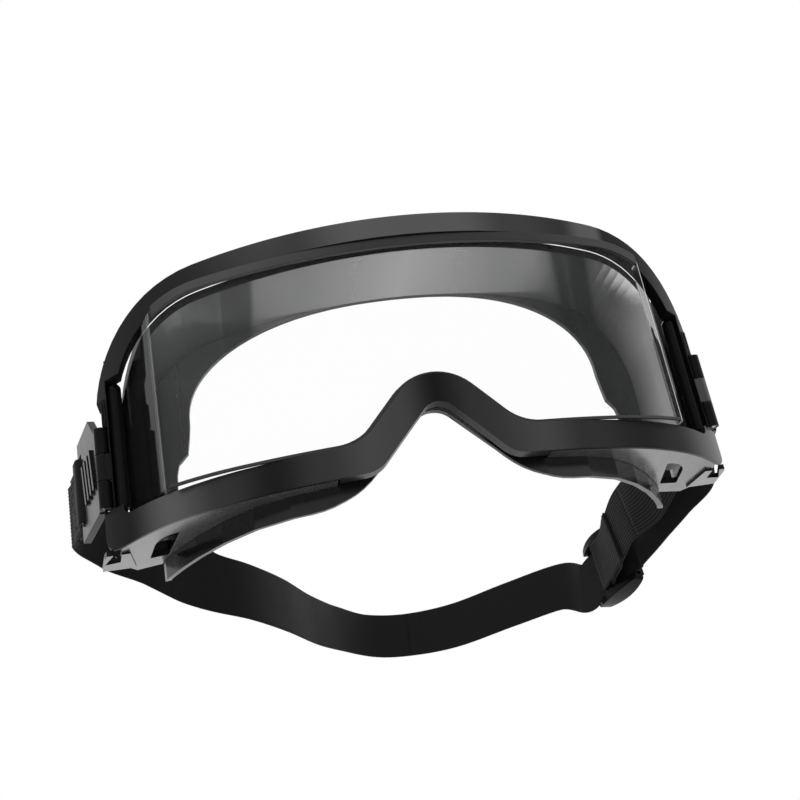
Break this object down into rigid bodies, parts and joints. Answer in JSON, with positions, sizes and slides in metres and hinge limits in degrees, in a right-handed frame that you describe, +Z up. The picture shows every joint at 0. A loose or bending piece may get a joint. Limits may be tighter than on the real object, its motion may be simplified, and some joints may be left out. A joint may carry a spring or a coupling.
{
  "type": "goggles",
  "caption": "Wide one-lens protective goggles with a clear bent lens, soft body, face seal, hinged side clips and an elastic head strap with a slide buckle",
  "frame": {"origin": "On the wearer's side of the face seal at the forehead, in the middle of the width, at the height where the seal's cylinder is nearest to the lens", "axes": "+X to the right as seen from the front, +Y from the lens back towards the wearer's head, +Z up as worn"},
  "size_m": [0.208, 0.2274, 0.0859],
  "materials": {
    "frame_black": "satin moulded",
    "clear_lens": "clear polished polycarbonate",
    "gasket": "smooth soft strip",
    "soft_black": "glossy soft moulding",
    "gloss_black": "glossy moulded",
    "steel": "plain wire pin",
    "webbing": "ribbed elastic webbing",
    "thread": "sewing thread"
  },
  "bodies": {
    "goggles": {"front_frame": "frame_black", "lens": "clear_lens", "upper_gasket": "gasket", "lower_gasket": "gasket", "body": "soft_black", "face_seal": "soft_black", "left_base_plate": "gloss_black", "right_base_plate": "gloss_black", "left_rod": "gloss_black", "right_rod": "gloss_black", "left_hinge_pin": "steel", "right_hinge_pin": "steel", "head_strap": "webbing", "loop_strap": "webbing"},
    "left_clip": {"left_strap_clip": "gloss_black", "left_strap_fold": "webbing", "left_stitching": "thread"},
    "right_clip": {"right_strap_clip": "gloss_black", "right_strap_fold": "webbing"},
    "buckle": {"slide_buckle": "gloss_black", "buckle_fold": "webbing", "buckle_stitching": "thread"}
  },
  "joints": [
    {"name": "left_clip_hinge", "type": "hinge", "parent": "goggles", "child": "left_clip", "pos_m": [-0.0846, 0, -0.006], "axis": [0, 0, 1], "range_deg": [-8, 30]},
    {"name": "right_clip_hinge", "type": "hinge", "parent": "goggles", "child": "right_clip", "pos_m": [0.0846, 0, -0.006], "axis": [0, 0, 1], "range_deg": [-30, 8]},
    {"name": "buckle_slide", "type": "slide", "parent": "goggles", "child": "buckle", "axis": [-0.3208, 0.9223, -0.2155], "range_m": [0, 0.005]}
  ]
}
